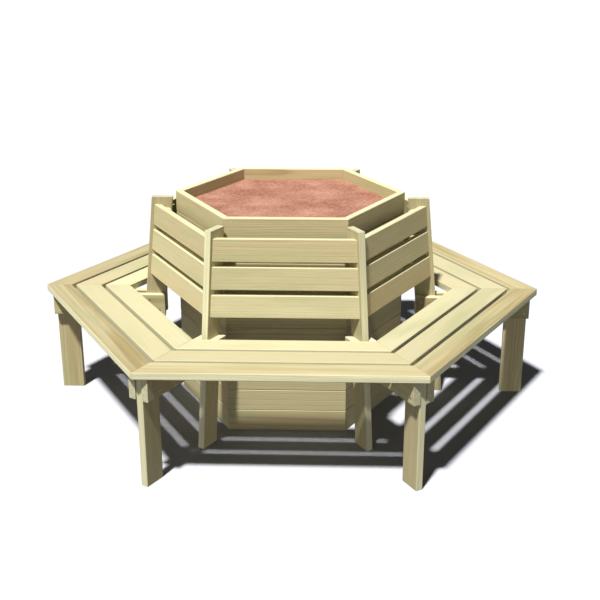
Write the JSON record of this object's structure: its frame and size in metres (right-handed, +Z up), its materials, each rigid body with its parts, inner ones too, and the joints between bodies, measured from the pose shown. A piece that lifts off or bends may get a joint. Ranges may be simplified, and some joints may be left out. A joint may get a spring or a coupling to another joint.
{
  "type": "tree bench",
  "caption": "Hexagonal slatted garden bench with a raked backrest, standing round its own tall hexagonal board planter.",
  "frame": {"origin": "on the ground, at the centre of the hexagon", "axes": "+Z up; +X out through one corner of the hexagon, so a corner lies on +X and on -X; +Y out through the middle of one side"},
  "size_m": [2.0392, 1.7666, 0.869],
  "materials": {
    "seat_timber": "matte",
    "frame_timber": "matte",
    "backrest_timber": "matte",
    "planter_timber": "matte",
    "inner_timber": "matte",
    "zinc_steel": "satin",
    "liner_sheet": "matte",
    "soil": "matte",
    "top_dressing": "matte"
  },
  "bodies": {
    "root": {"seat_slat_inner_1": "seat_timber", "seat_slat_middle_1": "seat_timber", "seat_slat_outer_1": "seat_timber", "seat_slat_inner_2": "seat_timber", "seat_slat_middle_2": "seat_timber", "seat_slat_outer_2": "seat_timber", "seat_slat_inner_3": "seat_timber", "seat_slat_middle_3": "seat_timber", "seat_slat_outer_3": "seat_timber", "seat_slat_inner_4": "seat_timber", "seat_slat_middle_4": "seat_timber", "seat_slat_outer_4": "seat_timber", "seat_slat_inner_5": "seat_timber", "seat_slat_middle_5": "seat_timber", "seat_slat_outer_5": "seat_timber", "seat_slat_inner_6": "seat_timber", "seat_slat_middle_6": "seat_timber", "seat_slat_outer_6": "seat_timber", "outer_leg_1": "frame_timber", "back_post_1": "frame_timber", "seat_bearers_1": "frame_timber", "backrest_boards_1": "backrest_timber", "planter_wall_1": "planter_timber", "outer_leg_2": "frame_timber", "back_post_2": "frame_timber", "seat_bearers_2": "frame_timber", "backrest_boards_2": "backrest_timber", "planter_wall_2": "planter_timber", "outer_leg_3": "frame_timber", "back_post_3": "frame_timber", "seat_bearers_3": "frame_timber", "backrest_boards_3": "backrest_timber", "planter_wall_3": "planter_timber", "outer_leg_4": "frame_timber", "back_post_4": "frame_timber", "seat_bearers_4": "frame_timber", "backrest_boards_4": "backrest_timber", "planter_wall_4": "planter_timber", "outer_leg_5": "frame_timber", "back_post_5": "frame_timber", "seat_bearers_5": "frame_timber", "backrest_boards_5": "backrest_timber", "planter_wall_5": "planter_timber", "outer_leg_6": "frame_timber", "back_post_6": "frame_timber", "seat_bearers_6": "frame_timber", "backrest_boards_6": "backrest_timber", "planter_wall_6": "planter_timber", "backrest_cleats": "frame_timber", "planter_battens": "inner_timber", "planter_floor_ledgers": "inner_timber", "planter_floor_boards": "inner_timber", "planter_corner_brackets": "zinc_steel", "planter_liner": "liner_sheet", "planter_soil": "soil", "planter_top_dressing": "top_dressing", "seat_frame_screws": "zinc_steel", "backrest_screws": "zinc_steel", "planter_wall_screws": "zinc_steel", "planter_inner_screws": "zinc_steel"}
  },
  "joints": []
}
